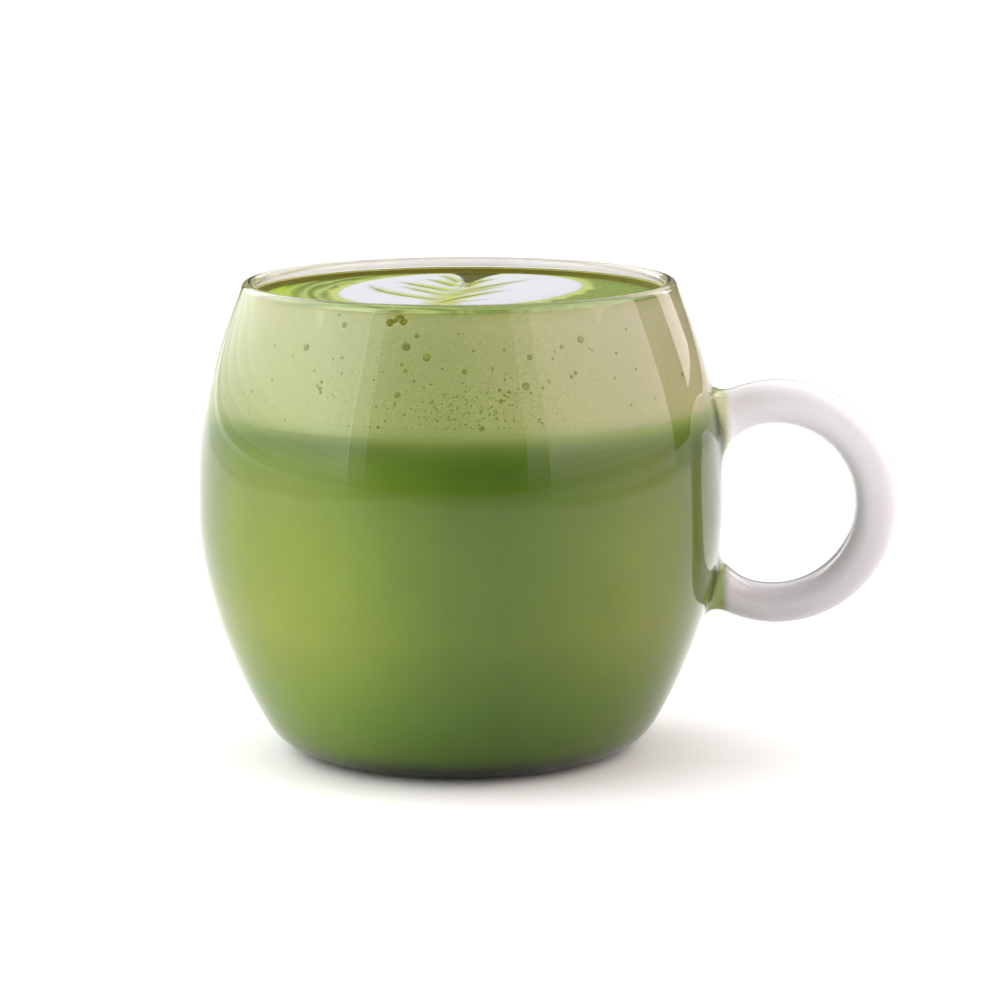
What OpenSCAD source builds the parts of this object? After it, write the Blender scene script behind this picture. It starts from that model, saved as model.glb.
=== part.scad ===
// Matcha latte in a clear glass mug with a ring handle.
// Millimetres, +Z up. The origin is the centre of the mug's flat foot; the handle points along +X,
// and the notch of the poured milk heart points along +Y.

/* [Mug body] */
// Height of the mug, from the foot to the top of the rim
mug_h = 86; // [78:0.5:100]
// Outside diameter at the belly, the widest place
belly_d = 96; // [88:0.5:104]
// Height of the belly above the foot
belly_z = 44.5; // [40:0.5:50]
// Outside diameter just under the rim
rim_d = 79; // [72:0.5:86]
// Diameter of the flat foot
foot_d = 53; // [46:0.5:58]
// Radius of the round edge between the foot and the side
foot_round = 11; // [8:0.5:13]
// Glass thickness of the side
wall = 2.3; // [1.6:0.1:3.2]
// Glass thickness of the base
base_t = 3; // [2.4:0.1:4]
// Angle that the side leaves the round foot edge at, above level
foot_rise = 58; // [50:1:66]
// Angle that the shoulder leans in at the rim, from upright
rim_lean = 21.5; // [14:0.5:26]

/* [Handle] */
// Radius of the ring that the middle of the rod follows
ring_r = 18.5; // [16:0.5:21]
// How far the ring's centre stands out from the belly
ring_reach = 9.7; // [8:0.1:12]
// Height of the ring's centre above the foot
ring_z = 45; // [42:0.5:50]
// Thickness of the rod, measured in the plane of the ring
rod_w = 8.1; // [6:0.1:9]
// Thickness of the rod, measured across the ring
rod_d = 9.2; // [7:0.1:11]
// How square the rod is: 2 is an ellipse, more is squarer
rod_square = 2.7; // [2:0.1:3.5]
// Radius of the fillet where the rod runs into the wall
root_fillet = 3; // [1.5:0.1:3.5]

/* [Drink] */
// Free height between the top of the rim and the flat top of the foam
fill_gap = 2.4; // [2:0.1:12]
// Depth of the foam that floats on the matcha milk
foam_h = 20.2; // [8:0.1:30]
// Height that the foam climbs up the glass at its edge
climb_h = 1; // [0.4:0.1:1.4]
// Width of the edge in which the foam climbs
climb_w = 1.6; // [0.8:0.1:2.4]

/* [Milk heart] */
// Margin of green foam behind the poured heart
rear_gap = 3.2; // [3:0.1:8]
// Margin of green foam in front of the heart
front_gap = 18.2; // [12:0.1:24]
// How much longer the heart is along its slant than its middle radius
heart_slant = 3.1; // [0:0.1:3.7]
// Depth of the white milk foam in the green foam
heart_t = 2.5; // [1:0.1:4]
// Width of a leaf vein at the stem
vein_w = 1; // [0.6:0.1:1.2]
// Number of leaf veins on each side of the stem
vein_n = 4; // [3:1:5]

/* [Hidden] */

steps = 13;                                   // segments along each curve of the side
foot_steps = 6;                               // segments along the round edge of the foot
over = 5;                                     // a cut runs past what it cuts by this
eps = 0.01;

// ---- Outline of the glass: the foot's round edge, then two Bezier curves that meet at the belly.

function along(a) = [cos(a), sin(a)];
function out_of(d) = [d.y, -d.x];             // right-hand normal of a direction, which points out of the glass
function unit(v) = v / norm(v);
function bez(p, t) = pow(1 - t, 3) * p[0] + 3 * t * pow(1 - t, 2) * p[1]
                     + 3 * t * t * (1 - t) * p[2] + pow(t, 3) * p[3];
function bez_dir(p, t) = unit(pow(1 - t, 2) * (p[1] - p[0]) + 2 * t * (1 - t) * (p[2] - p[1])
                              + t * t * (p[3] - p[2]));

foot_end = [foot_d / 2, 0] + foot_round * [sin(foot_rise), 1 - cos(foot_rise)];
belly = [belly_d / 2, belly_z];
lean = along(90 + rim_lean);
rim_end = [rim_d / 2, mug_h - wall / 2 * (1 - sin(rim_lean))];

// How far each curve keeps to its direction at the foot, the belly and the rim, as a share of its height.
foot_pull = 0.2;
belly_pull = 0.4;
rim_pull = 0.42;
low_h = belly_z - foot_end.y;
high_h = mug_h - belly_z;
flank = [foot_end, foot_end + foot_pull * low_h * along(foot_rise), belly - [0, belly_pull * low_h], belly];
shoulder = [belly, belly + [0, belly_pull * high_h], rim_end - rim_pull * high_h * lean, rim_end];

// Side of the glass from the foot's round edge to the rim, moved in by a distance from the outside.
function side(inset) = concat(
    [for (i = [0 : steps - 1]) bez(flank, i / steps) - inset * out_of(bez_dir(flank, i / steps))],
    [for (i = [0 : steps]) bez(shoulder, i / steps) - inset * out_of(bez_dir(shoulder, i / steps))]);

// The foot's round edge, moved in the same way but ending on a floor at a stated height.
function foot_edge(inset, floor_z) =
    let (end = foot_end - inset * out_of(along(foot_rise)),
         r = (end.y - floor_z) / (1 - cos(foot_rise)),
         start = end.x - r * sin(foot_rise))
    [for (i = [0 : foot_steps - 1]) let (a = foot_rise * i / foot_steps)
        [start + r * sin(a), floor_z + r * (1 - cos(a))]];

// The rim is a half circle as wide as the wall.
rim_mid = rim_end - wall / 2 * out_of(lean);
rim_arc = [for (a = [22.5 : 22.5 : 157.5]) rim_mid + wall / 2 * along(rim_lean + a)];

function reversed(list) = [for (i = [len(list) - 1 : -1 : 0]) list[i]];
function heights(points) = [for (p = points) [p.y, p.x]];
outside = side(0);
function wall_r(z) = lookup(z, heights(outside));   // outside radius at a height

// A turned shape. The seam of its faces lies along +Y, clear of the handle.
module turned(points) {
    rotate([0, 0, 90]) rotate_extrude($fn = 96) polygon(points);
}

// The inside of the mug, filled to above the rim.
module hollow(inset, floor_z) {
    line = side(inset);
    last = line[len(line) - 1];
    turned(concat([[0, floor_z]], foot_edge(inset, floor_z), line,
                  [[last.x, mug_h + over], [0, mug_h + over]]));
}

// ---- Handle: a ring of squarish rod that ends inside the wall, with a fillet at each root.

ring_x = belly_d / 2 + ring_reach;

function squarish(a, w) = sign(cos(a)) * pow(abs(cos(a)), 2 / rod_square) * w / 2;
rod_outline = [for (a = [0 : 18 : 342]) [ring_r + squarish(a, rod_w), squarish(a - 90, rod_d)]];

// The place where the ring meets the wall; up is 1 for the upper root and -1 for the lower.
function root_z(up, r) = ring_z + up * sqrt(pow(ring_r, 2) - pow(ring_x - r, 2));
function root(up) =
    let (first = wall_r(root_z(up, belly_d / 2)), second = wall_r(root_z(up, first)))
    [second, root_z(up, second)];
function wall_slope(z) = atan2(wall_r(z - 1) - wall_r(z + 1), 2);    // above level, of the wall's normal
rod_slope = asin(ring_reach / ring_r);                               // the same, of the rod at its upper root

// A root's fillet is as wide as the rod and the fillet at the wall, and ends inside the slanting rod.
module root_flare(up) {
    at = root(up);
    core = rod_w / 2 - root_fillet * tan(abs(up * rod_slope - wall_slope(at.y)));
    wide = rod_w / 2 + root_fillet;
    dip = pow(wide, 2) / belly_d;                                    // the wall falls away by this at the sides
    translate([at.x, 0, at.y])
        rotate([0, 90 - wall_slope(at.y), 0])
            turned(concat([[0, -wall], [wide, -wall]],
                          [for (s = [0 : 0.25 : 1])
                              [core + (wide - core) * pow(1 - s, 1.5), (root_fillet + dip) * s - dip]],
                          [[0, root_fillet]]));
}

module handle() {
    difference() {
        union() {
            translate([ring_x, 0, ring_z]) rotate([90, 0, 0]) turned(rod_outline);
            root_flare(1);
            root_flare(-1);
        }
        hollow(wall / 2, base_t / 2);
    }
}

module glass_mug() {
    color([0.87, 0.9, 0.88, 0.35]) union() {
        turned(concat([[0, 0]], foot_edge(0, 0), outside, rim_arc,
                      reversed(side(wall)), reversed(foot_edge(wall, base_t)), [[0, base_t]]));
        handle();
    }
}

// ---- Drink: green matcha milk, the pale foam on it, and the white milk heart let into the foam.

level = mug_h - fill_gap;
foam_z = level - foam_h;

// Everything inside the glass between two heights.
module filled(low, high) {
    intersection() {
        hollow(wall, base_t);
        translate([0, 0, low]) cylinder(r = belly_d, h = high - low, $fn = 96);
    }
}

module matcha_milk() {
    color([0.42, 0.55, 0.2]) filled(base_t - eps, foam_z);
}

// The room above the foam: flat, and rising in a hollow curve towards the glass.
edge_r = lookup(level, heights(side(wall)));
surface_r = edge_r - climb_w;

module above_foam() {
    turned(concat([[0, level], [surface_r, level]],
                  [for (a = [15 : 15 : 75]) [surface_r + climb_w * sin(a), level + climb_h * (1 - cos(a))]],
                  [[edge_r, level + climb_h], [edge_r + wall, level + climb_h],
                   [edge_r + wall, mug_h + over], [0, mug_h + over]]));
}

module foam() {
    color([0.72, 0.77, 0.52]) difference() {
        filled(foam_z, level + climb_h);
        above_foam();
        heart_solid();
    }
}

// Outline of the heart, as a radius at an angle: a slanting oval with one sharp notch at the back.
heart_r = surface_r - (rear_gap + front_gap) / 2;
heart_back = (front_gap - rear_gap) / 2;
slant = 70;                                   // direction of the heart's long way
notch_at = 82;
notch_deep = 0.6;
notch_wide = 5;
function notch(a) = 1 - notch_deep * exp(-min(abs(a - notch_at), 360 - abs(a - notch_at)) / notch_wide);
back_swell = 1.3;                             // the back of the heart is this much fuller than its front
function oval(a) = heart_r + heart_slant * cos(2 * (a - slant)) + back_swell * cos(a - notch_at);
function heart_at(a) = oval(a) * notch(a);
function spread(u) = notch_at + 180 * sign(u) * pow(abs(u), 1.5);    // closer together at the notch
heart_outline = [for (i = [0 : 63]) let (a = spread(i / 32 - 1)) heart_at(a) * along(a)];

// The stem runs from the front of the heart to the notch, and the veins leave it on both sides.
stem_foot = heart_at(notch_at + 180) * along(notch_at + 180);
stem_tip = heart_at(notch_at) * along(notch_at);
function stem(s) = stem_foot + s * (stem_tip - stem_foot);

// Middle line of a vein, which leaves the stem aslant and bends up. hand is -1 for the left.
vein_lean = 38;
vein_bend = 9;
vein_clear = 0.6;                             // distance from the stem, as a share of the vein's width
vein_taper = 0.75;                            // share of its width that a vein loses
first_vein = 0.2;                             // place of the lowest pair on the stem, as a share of its length
last_vein = 0.75;
vein_step = 0.04;                             // the right veins start this much lower and the left ones higher
vein_long = 1.1;                              // length of a vein at the foot of the stem, in heart radii

function vein_mid(base, hand, reach, t) =
    base + [hand * vein_w * vein_clear, 0] + reach * t * along(90 - hand * (vein_lean - vein_bend * t));
function vein_half(t) = [vein_w / 2 * (1 - vein_taper * t), 0];

module vein(base, hand, reach) {
    n = 5;
    polygon(concat([for (i = [0 : n]) vein_mid(base, hand, reach, i / n) + vein_half(i / n)],
                   [for (i = [n : -1 : 0]) vein_mid(base, hand, reach, i / n) - vein_half(i / n)]));
}

module heart_solid() {
    translate([0, heart_back, level - heart_t])
        linear_extrude(height = heart_t)
            difference() {
                polygon(heart_outline);
                for (i = [0 : vein_n - 1], hand = [-1, 1]) {
                    at = first_vein + (last_vein - first_vein) * i / (vein_n - 1);
                    vein(stem(at - vein_step * hand), hand, heart_r * (vein_long - at));
                }
            }
}

module milk_heart() {
    color([0.93, 0.94, 0.9]) heart_solid();
}

glass_mug();
matcha_milk();
foam();
milk_heart();
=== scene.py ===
"""Looks of a matcha latte in a clear glass belly mug with a ring handle.

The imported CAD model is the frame. Each of its four nodes is replaced by a finished piece of the same
size, and the bubbles that show through the glass are added. Lengths are in metres, and MM turns a
number of millimetres into them. +Z is up, the handle points along +X and the notch of the poured heart
points along +Y.
"""

import logging
import math
from dataclasses import dataclass, field
from enum import Enum
from typing import Callable, Sequence

import bmesh
import bpy
import numpy as np
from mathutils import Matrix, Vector


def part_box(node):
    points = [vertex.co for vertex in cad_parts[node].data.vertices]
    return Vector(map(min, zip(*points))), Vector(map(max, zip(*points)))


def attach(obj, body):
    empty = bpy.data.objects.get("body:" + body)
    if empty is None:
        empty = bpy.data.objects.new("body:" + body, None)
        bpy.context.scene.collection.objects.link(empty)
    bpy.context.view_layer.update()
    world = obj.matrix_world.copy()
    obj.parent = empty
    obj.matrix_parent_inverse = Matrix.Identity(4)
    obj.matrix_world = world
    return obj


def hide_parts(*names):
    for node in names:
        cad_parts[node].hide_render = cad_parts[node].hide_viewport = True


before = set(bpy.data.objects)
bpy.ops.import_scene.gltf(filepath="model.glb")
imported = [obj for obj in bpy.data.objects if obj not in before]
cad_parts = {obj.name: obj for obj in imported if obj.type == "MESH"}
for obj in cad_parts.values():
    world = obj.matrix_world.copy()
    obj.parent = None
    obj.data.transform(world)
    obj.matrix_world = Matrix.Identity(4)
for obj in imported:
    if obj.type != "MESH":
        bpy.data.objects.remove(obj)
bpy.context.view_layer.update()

MM = 0.001
LOG = logging.getLogger("matcha_latte")
Point = tuple[float, float]
Colour = tuple[float, float, float]
Stops = Sequence[tuple[float, Colour]]
MERGE_GAP = 0.001 * MM
HALVINGS = 20
NEARLY = 0.01
SLOPE_STEP = 0.5 * MM


# ---------------------------------------------------------------- small shared sums


def smooth(value: np.ndarray | float, low: float, high: float) -> np.ndarray | float:
    """Rises smoothly from 0 at low to 1 at high, or falls where low is above high.

    Args:
        value: What is measured.
        low: Value at which the share is 0.
        high: Value at which it is 1.

    Returns:
        A share from 0 to 1.
    """
    share = np.clip((value - low) / (high - low), 0, 1)
    return share * share * (3 - 2 * share)


def direction(degrees: float) -> np.ndarray:
    """Unit vector in the plane at an angle from its first axis."""
    return np.array([math.cos(math.radians(degrees)), math.sin(math.radians(degrees))])


def halved(test: Callable[[float], bool], low: float, high: float) -> float:
    """Finds where a test turns from true at low to false at high.

    Args:
        test: True on the low side of the place looked for.
        low: A number at which the test is true.
        high: A number at which it is false.

    Returns:
        The place, to a millionth of the first range.
    """
    for _ in range(HALVINGS):
        middle = (low + high) / 2
        low, high = (middle, high) if test(middle) else (low, middle)
    return (low + high) / 2


def on_curve(share: float, points: Sequence[np.ndarray]) -> np.ndarray:
    """A point of a cubic Bezier curve.

    Args:
        share: Place along the curve, from 0 to 1.
        points: The four control points.

    Returns:
        The point.
    """
    a, b, c, d = points
    t = share
    return (1 - t) ** 3 * a + 3 * t * (1 - t) ** 2 * b + 3 * t * t * (1 - t) * c + t**3 * d


# ---------------------------------------------------------------- modelling steps


class Bench:
    """Edit-mode steps that several pieces share."""

    @staticmethod
    def add(operator: Callable, name: str, **settings: object) -> bpy.types.Object:
        """Adds a primitive with nothing else selected and leaves it active, in object mode.

        Args:
            operator: The primitive's operator.
            name: Name of the new piece.
            **settings: The operator's own settings.

        Returns:
            The new object.
        """
        bpy.ops.object.select_all(action="DESELECT")
        operator(**settings)
        piece = bpy.context.active_object
        piece.name = piece.data.name = name
        return piece

    @staticmethod
    def turned(name: str, outline: Sequence[Point], steps: int) -> bpy.types.Object:
        """Turns an outline all the way round the Z axis.

        A plane is merged to one corner, which is extruded from point to point and then spun.

        Args:
            name: Name of the new piece.
            outline: Points as radius and height, from axis to axis.
            steps: Number of faces round the axis.

        Returns:
            The closed piece, in object mode.
        """
        piece = Bench.add(bpy.ops.mesh.primitive_plane_add, name, size=MM)
        bpy.ops.object.mode_set(mode="EDIT")
        bpy.ops.mesh.select_mode(type="VERT")
        bpy.ops.mesh.select_all(action="SELECT")
        bpy.ops.mesh.merge(type="CENTER")
        (radius, height), *rest = outline
        bpy.ops.transform.translate(value=(radius, 0, height))
        for next_radius, next_height in rest:
            move = (next_radius - radius, 0, next_height - height)
            bpy.ops.mesh.extrude_vertices_move(TRANSFORM_OT_translate={"value": move})
            radius, height = next_radius, next_height
        bpy.ops.mesh.select_all(action="SELECT")
        bpy.ops.mesh.spin(steps=steps, angle=2 * math.pi, center=(0, 0, 0), axis=(0, 0, 1))
        Bench.closed()
        bpy.ops.object.mode_set(mode="OBJECT")
        return piece

    @staticmethod
    def closed() -> None:
        """Merges doubled corners of the piece in edit mode and turns its faces outwards."""
        bpy.ops.mesh.select_all(action="SELECT")
        bpy.ops.mesh.remove_doubles(threshold=MERGE_GAP)
        bpy.ops.mesh.normals_make_consistent(inside=False)

    @staticmethod
    def select_faces(piece: bpy.types.Object, wanted: Callable[[Vector], bool]) -> int:
        """Selects the faces whose centres pass a test, in edit mode.

        Args:
            piece: The piece that is in edit mode.
            wanted: True for the centre of a face to select.

        Returns:
            The number of faces that passed.
        """
        mesh = bmesh.from_edit_mesh(piece.data)
        chosen = {face for face in mesh.faces if wanted(face.calc_center_median())}
        bpy.ops.mesh.select_mode(type="FACE")
        for face in mesh.faces:
            face.select_set(face in chosen)
        bmesh.update_edit_mesh(piece.data)
        return len(chosen)

    @staticmethod
    def finish(piece: bpy.types.Object, crease: float = math.radians(180), levels: int = 0) -> None:
        """Subdivides a piece and shades it smooth up to an angle.

        Args:
            piece: The piece, in object mode.
            crease: Edges sharper than this angle stay sharp.
            levels: Levels of subdivision to apply.
        """
        bpy.ops.object.select_all(action="DESELECT")
        piece.select_set(True)
        bpy.context.view_layer.objects.active = piece
        if levels:
            rounding = piece.modifiers.new("rounding", "SUBSURF")
            rounding.levels = rounding.render_levels = levels
            bpy.ops.object.modifier_apply(modifier=rounding.name)
        bpy.ops.object.shade_smooth()
        if crease < math.pi:
            bpy.ops.object.shade_smooth_by_angle(angle=crease)

    @staticmethod
    def places(piece: bpy.types.Object) -> np.ndarray:
        """Corners of a piece as rows of x, y and z.

        Args:
            piece: The piece, in object mode.

        Returns:
            One row for each corner, in metres.
        """
        found = np.empty(len(piece.data.vertices) * 3, np.float32)
        piece.data.vertices.foreach_get("co", found)
        return found.reshape(-1, 3).astype(float)

    @staticmethod
    def move_to(piece: bpy.types.Object, places: np.ndarray) -> None:
        """Moves every corner of a piece.

        Args:
            piece: The piece, in object mode.
            places: The new x, y and z of each corner.
        """
        piece.data.vertices.foreach_set("co", places.astype(np.float32).ravel())
        piece.data.update()

    @staticmethod
    def paint(piece: bpy.types.Object, name: str, colours: np.ndarray) -> None:
        """Stores a linear colour at each corner, in an attribute that a finish reads.

        Args:
            piece: The piece, in object mode.
            name: Name of the attribute.
            colours: Red, green and blue of each corner.
        """
        layer = piece.data.color_attributes.new(name, "FLOAT_COLOR", "POINT")
        alpha = np.ones((len(colours), 1))
        layer.data.foreach_set("color", np.hstack([colours, alpha]).astype(np.float32).ravel())


# ---------------------------------------------------------------- outline of the glass


@dataclass(frozen=True)
class GlassOutline:
    """Outline of the mug in a plane through its axis, as radius and height.

    The side is a round foot edge and two Bezier curves that meet at the belly. The rim is a half circle.

    Args:
        height: Height of the rim's top.
        belly_r: Largest radius, at the belly.
        belly_z: Height of the belly.
        rim_r: Outer radius where the rim starts.
        foot_r: Radius of the flat that the mug stands on.
        foot_round: Radius of the foot's round edge.
        foot_rise: Angle over which the edge turns up, in degrees.
        rim_lean: Angle by which the side leans in at the rim, in degrees.
        wall: Thickness of the wall.
        base: Thickness of the base.
        foot_pull: Pull of the lower curve at the foot, as a share of its height.
        belly_pull: Pull of both curves at the belly, likewise.
        rim_pull: Pull of the upper curve at the rim, likewise.
    """

    height: float
    belly_r: float
    belly_z: float = 44.5 * MM
    rim_r: float = 39.5 * MM
    foot_r: float = 26.5 * MM
    foot_round: float = 11 * MM
    foot_rise: float = 58
    rim_lean: float = 21.5
    wall: float = 2.3 * MM
    base: float = 3 * MM
    foot_pull: float = 0.2
    belly_pull: float = 0.4
    rim_pull: float = 0.42

    @property
    def foot_end(self) -> np.ndarray:
        """Upper end of the foot's round edge."""
        across = self.foot_r + self.foot_round * direction(self.foot_rise)[1]
        return np.array([across, self.foot_round * (1 - direction(self.foot_rise)[0])])

    @property
    def rim_end(self) -> np.ndarray:
        """Upper end of the outer side, where the rim starts."""
        lift = math.sin(math.radians(self.rim_lean))
        return np.array([self.rim_r, self.height - self.wall / 2 * (1 - lift)])

    def _curve(self, height: float) -> np.ndarray:
        """Control points of the Bezier curve that passes a height.

        Args:
            height: Height of a point of the outer side.

        Returns:
            Four rows of radius and height.
        """
        belly = np.array([self.belly_r, self.belly_z])
        low, high = self.belly_z - self.foot_end[1], self.height - self.belly_z
        up = np.array([0.0, 1.0])
        if height < self.belly_z:
            start = self.foot_end + self.foot_pull * low * direction(self.foot_rise)
            return np.array([self.foot_end, start, belly - self.belly_pull * low * up, belly])
        end = self.rim_end - self.rim_pull * high * direction(90 + self.rim_lean)
        return np.array([belly, belly + self.belly_pull * high * up, end, self.rim_end])

    def side(self, height: float, inset: float = 0.0) -> np.ndarray:
        """A point of the side.

        Args:
            height: Height of the point of the outer side.
            inset: Distance to move in from there, at right angles to the side.

        Returns:
            Radius and height.
        """
        curve = self._curve(height)
        t = halved(lambda share: on_curve(share, curve)[1] < height, 0.0, 1.0)
        a, b, c, d = curve
        slope = (1 - t) ** 2 * (b - a) + 2 * t * (1 - t) * (c - b) + t * t * (d - c)
        out = np.array([slope[1], -slope[0]]) / np.linalg.norm(slope)
        return on_curve(t, curve) - inset * out

    def foot_edge(self, inset: float, floor: float, steps: int) -> list[np.ndarray]:
        """Points of the foot's round edge, moved in, from a floor up to just below the side.

        Args:
            inset: Distance from the outer side.
            floor: Height at which the edge starts.
            steps: Number of points.

        Returns:
            Radius and height of each point.
        """
        end = self.side(self.foot_end[1], inset)
        radius = (end[1] - floor) / (1 - direction(self.foot_rise)[0])
        start = np.array([end[0] - radius * direction(self.foot_rise)[1], floor])
        turns = (direction(self.foot_rise * i / steps) for i in range(steps))
        return [start + radius * np.array([turn[1], 1 - turn[0]]) for turn in turns]

    def rim(self, steps: int) -> list[np.ndarray]:
        """Points along the half circle of the rim, without its ends, from the outer side to the inner one.

        Args:
            steps: Number of steps round the half circle.

        Returns:
            Radius and height of each point.
        """
        out = direction(self.rim_lean)
        middle = self.rim_end - self.wall / 2 * out
        return [middle + self.wall / 2 * direction(self.rim_lean + 180 * i / steps) for i in range(1, steps)]

    def radius_inside(self, height: float, inset: float) -> float:
        """Radius at which the side, moved in, is at a height of its own."""
        at = halved(lambda z: self.side(z, inset)[1] < height, self.foot_end[1], self.rim_end[1])
        return float(self.side(at, inset)[0])


# ---------------------------------------------------------------- the mug


@dataclass
class GlassMug:
    """The glass mug: a turned body with a wall, and a ring handle drawn out of two patches of its side.

    Args:
        outline: Outline of the body.
        handle_end: Place along X of the handle's outermost point.
        drink_top: Height of the drink's climbing edge.
        ring_z: Height of the middle of the handle's ring.
        ring_r: Radius of the rod's middle line round the ring.
        ring_tall: Height of the ring as a share of its width.
        rod_w: Width of the rod in the plane of the ring.
        rod_w_top: What is added to it at the top, and taken off at the bottom.
        rod_w_out: What is added to it at the outermost point.
        rod_d: Depth of the rod along Y.
        rod_square: Power of the section's outline, where 2 is round and more is squarer.
        columns: Faces round the body.
        patch: Faces along each side of the square patches that the handle grows from.
        patch_low: Heights of the lower patch's edges.
        patch_high: Heights of the upper patch's edges.
        root_turns: Angles of the ring between which it meets the side, in degrees.
        neck_turn: Angle of the ring that each fillet takes up, in degrees.
        neck_shares: Where the fillet's loops lie between the patch and the rod.
        foot_pull: Pull of the fillet's curve at the patch.
        rod_pull: Pull of the fillet's curve at the rod.
        stations: Loops round the ring between the fillets.
        row: Largest height of a row of faces.
        edge_steps: Rows of faces up the foot's round edge.
        rim_steps: Rows of faces round the rim.
        under_ring: Radius of the ring of corners under the foot, as a share of the foot's.
        floor_ring: Radius of the ring of corners on the floor inside, likewise.
    """

    outline: GlassOutline
    handle_end: float
    drink_top: float
    ring_z: float = 44.7 * MM
    ring_r: float = 18.5 * MM
    ring_tall: float = 1.012
    rod_w: float = 7.55 * MM
    rod_w_top: float = 0.45 * MM
    rod_w_out: float = 0.55 * MM
    rod_d: float = 9.2 * MM
    rod_square: float = 2.7
    columns: int = 96
    patch: int = 6
    patch_low: tuple[float, float] = (20.9 * MM, 37.6 * MM)
    patch_high: tuple[float, float] = (51.6 * MM, 69.6 * MM)
    root_turns: tuple[float, float] = (60.0, 170.0)
    neck_turn: float = 17
    neck_shares: tuple[float, ...] = (0.0, 0.2, 0.38, 0.54, 0.7, 0.86)
    foot_pull: float = 0.8
    rod_pull: float = 0.72
    stations: int = 30
    row: float = 3 * MM
    edge_steps: int = 6
    rim_steps: int = 8
    under_ring: float = 0.5
    floor_ring: float = 0.4

    @property
    def ring_x(self) -> float:
        """Place along X of the middle of the handle's ring."""
        return self.handle_end - self.ring_r - (self.rod_w + self.rod_w_out) / 2

    def _rows(self) -> list[float]:
        """Heights of the rows of faces on the outer side, which fall on the edges of both patches.

        Returns:
            The heights, from the foot's edge up to the rim.
        """
        low, high = self.outline.foot_end[1], self.outline.rim_end[1]
        marks = [low, *self.patch_low, *self.patch_high, high]
        heights = []
        for start, end in zip(marks, marks[1:]):
            in_patch = (start, end) in (self.patch_low, self.patch_high)
            count = self.patch if in_patch else math.ceil((end - start) / self.row)
            heights += [start + (end - start) * i / count for i in range(count)]
        return [*heights, high]

    def _body(self) -> bpy.types.Object:
        """Turns the body, with its wall, rim and base.

        Returns:
            The closed body, without the handle.
        """
        shape, rows = self.outline, self._rows()
        points = [(0.0, 0.0), (shape.foot_r * self.under_ring, 0.0)]
        points += shape.foot_edge(0.0, 0.0, self.edge_steps)
        points += [shape.side(z) for z in rows]
        points += shape.rim(self.rim_steps)
        points += [shape.side(z, shape.wall) for z in reversed(rows)]
        points += reversed(shape.foot_edge(shape.wall, shape.base, self.edge_steps))
        points += [(shape.foot_r * self.floor_ring, shape.base), (0.0, shape.base)]
        return Bench.turned("mug", [tuple(map(float, p)) for p in points], self.columns)

    def _on_wall(self, height: float, turn: float) -> np.ndarray:
        """A point of the outer side at a height and an angle round the axis, in degrees."""
        radius, z = self.outline.side(height)
        return np.array([*(radius * direction(turn)), z])

    def _patch_loop(self, up: int) -> list[np.ndarray]:
        """Corners round a patch, from the corner on the +Y side that is farthest from the handle's middle.

        Args:
            up: 1 for the upper patch and -1 for the lower one.

        Returns:
            The corners in order, four sides of as many faces as the patch is wide.
        """
        near, far = self.patch_high if up > 0 else reversed(self.patch_low)
        half, turn = self.patch // 2, 360 / self.columns
        square = [(half, v) for v in range(half, -half, -1)]
        square += [(u, -half) for u in range(half, -half, -1)]
        square += [(-half, v) for v in range(-half, half)]
        square += [(u, half) for u in range(-half, half)]
        return [self._on_wall(near + (far - near) * (u + half) / self.patch, v * turn) for u, v in square]

    def _rod(self, turn: float, corner: int) -> np.ndarray:
        """A corner of the rod's section.

        Args:
            turn: Angle of the ring at which the section lies, in degrees.
            corner: Number of the corner round the section.

        Returns:
            The corner's x, y and z.
        """
        outward = direction(turn)
        width = self.rod_w + self.rod_w_top * outward[1] + self.rod_w_out * outward[0]
        across, along = direction(45 + 90 * corner / self.patch)
        n = math.copysign(abs(along) ** (2 / self.rod_square), along) * width / 2
        y = math.copysign(abs(across) ** (2 / self.rod_square), across) * self.rod_d / 2
        reach = self.ring_r + n
        x = self.ring_x + reach * outward[0]
        z = self.ring_z + self.ring_tall * reach * outward[1]
        return np.array([x, y, z])

    def _inside(self, place: np.ndarray) -> bool:
        """True if a point beside the handle is within the outer side."""
        return math.hypot(place[0], place[1]) < self.outline.side(place[2])[0]

    def _root_turn(self, up: int, corner: int | None = None) -> float:
        """Angle of the ring at which its middle, or a corner of the rod, meets the side.

        Args:
            up: 1 for the upper root and -1 for the lower one.
            corner: Number of the rod's corner, or None for its middle line.

        Returns:
            The angle, in degrees.
        """

        def outside(turn: float) -> bool:
            """True if the place at an angle of the ring is outside the body."""
            if corner is not None:
                return not self._inside(self._rod(up * turn, corner))
            middle = np.array([self.ring_x, self.ring_z]) + self.ring_r * direction(up * turn)
            return not self._inside(np.array([middle[0], 0.0, middle[1]]))

        return up * halved(outside, *self.root_turns)

    def _neck(self, up: int) -> list[list[np.ndarray]]:
        """Loops of the fillet from a patch to the rod, the patch's own loop first.

        Each corner runs along the side, turns where the rod meets it and ends along the rod.

        Args:
            up: 1 for the upper root and -1 for the lower one.

        Returns:
            The loops, each as a list of corners.
        """
        start = self._patch_loop(up)
        end_turn = self._root_turn(up) - up * self.neck_turn
        spokes = []
        for corner, foot in enumerate(start):
            meeting = self._rod(self._root_turn(up, corner), corner)
            end = self._rod(end_turn, corner)
            along = np.array([*(foot[:2] / np.linalg.norm(foot[:2])), 0.0])
            flat = (meeting - foot) - np.dot(meeting - foot, along) * along
            first = foot + self.foot_pull * (0.5 * flat + 0.5 * (meeting - foot))
            second = end + self.rod_pull * (meeting - end)
            spokes.append([on_curve(t, (foot, first, second, end)) for t in self.neck_shares])
        return [list(loop) for loop in zip(*spokes)]

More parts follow.
